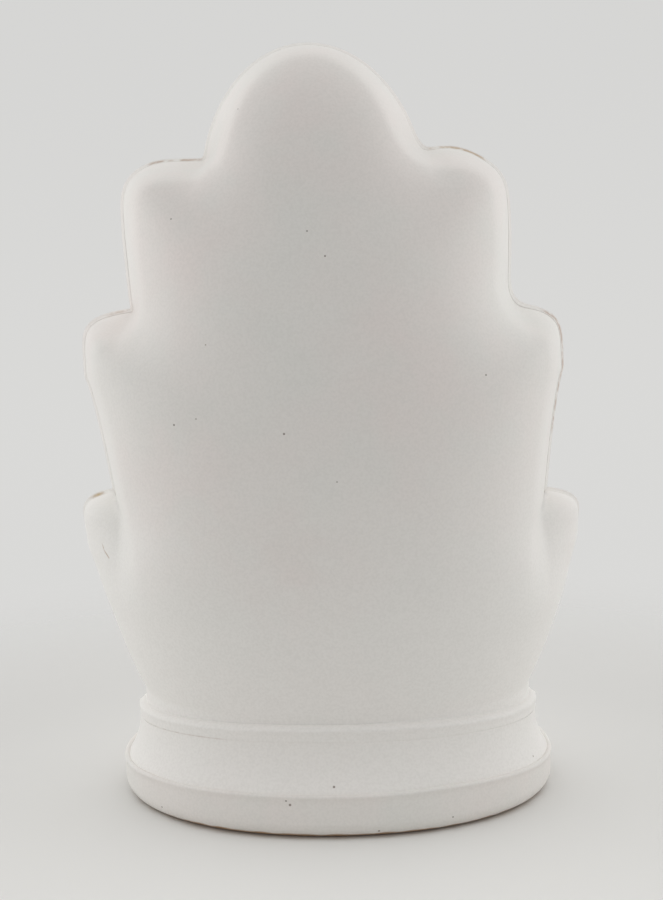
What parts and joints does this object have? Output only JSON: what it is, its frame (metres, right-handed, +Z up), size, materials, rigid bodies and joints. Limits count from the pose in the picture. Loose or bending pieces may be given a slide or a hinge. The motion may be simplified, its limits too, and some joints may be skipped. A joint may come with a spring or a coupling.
{
  "type": "grotto figurine",
  "caption": "White-glazed pottery grotto with a scalloped, lobed back on an oval plinth, holding a small robed figure on a rock; a free-standing ornament.",
  "frame": {"origin": "centre of the plinth, on the surface that it stands on", "axes": "+Z up, the open front of the niche faces -Y, the plain back faces +Y, +X is to the right seen from the front"},
  "size_m": [0.1431, 0.0971, 0.2003],
  "materials": {
    "white_glaze": "satin white glaze over pale clay, breaking brown on sharp edges",
    "bare_clay": "unglazed brown clay",
    "rock_wash": "thin brown wash under satin glaze"
  },
  "bodies": {
    "root": {"back_shell": "white_glaze", "niche_lining": "white_glaze", "plinth_drum": "white_glaze", "collar_bead": "white_glaze", "foot_band": "white_glaze", "base_slab": "bare_clay", "rock_mound": "rock_wash", "robe": "white_glaze", "mantle": "white_glaze", "head": "white_glaze", "sleeve_px": "white_glaze", "sleeve_mx": "white_glaze", "hand_px": "white_glaze", "hand_mx": "white_glaze"}
  },
  "joints": []
}
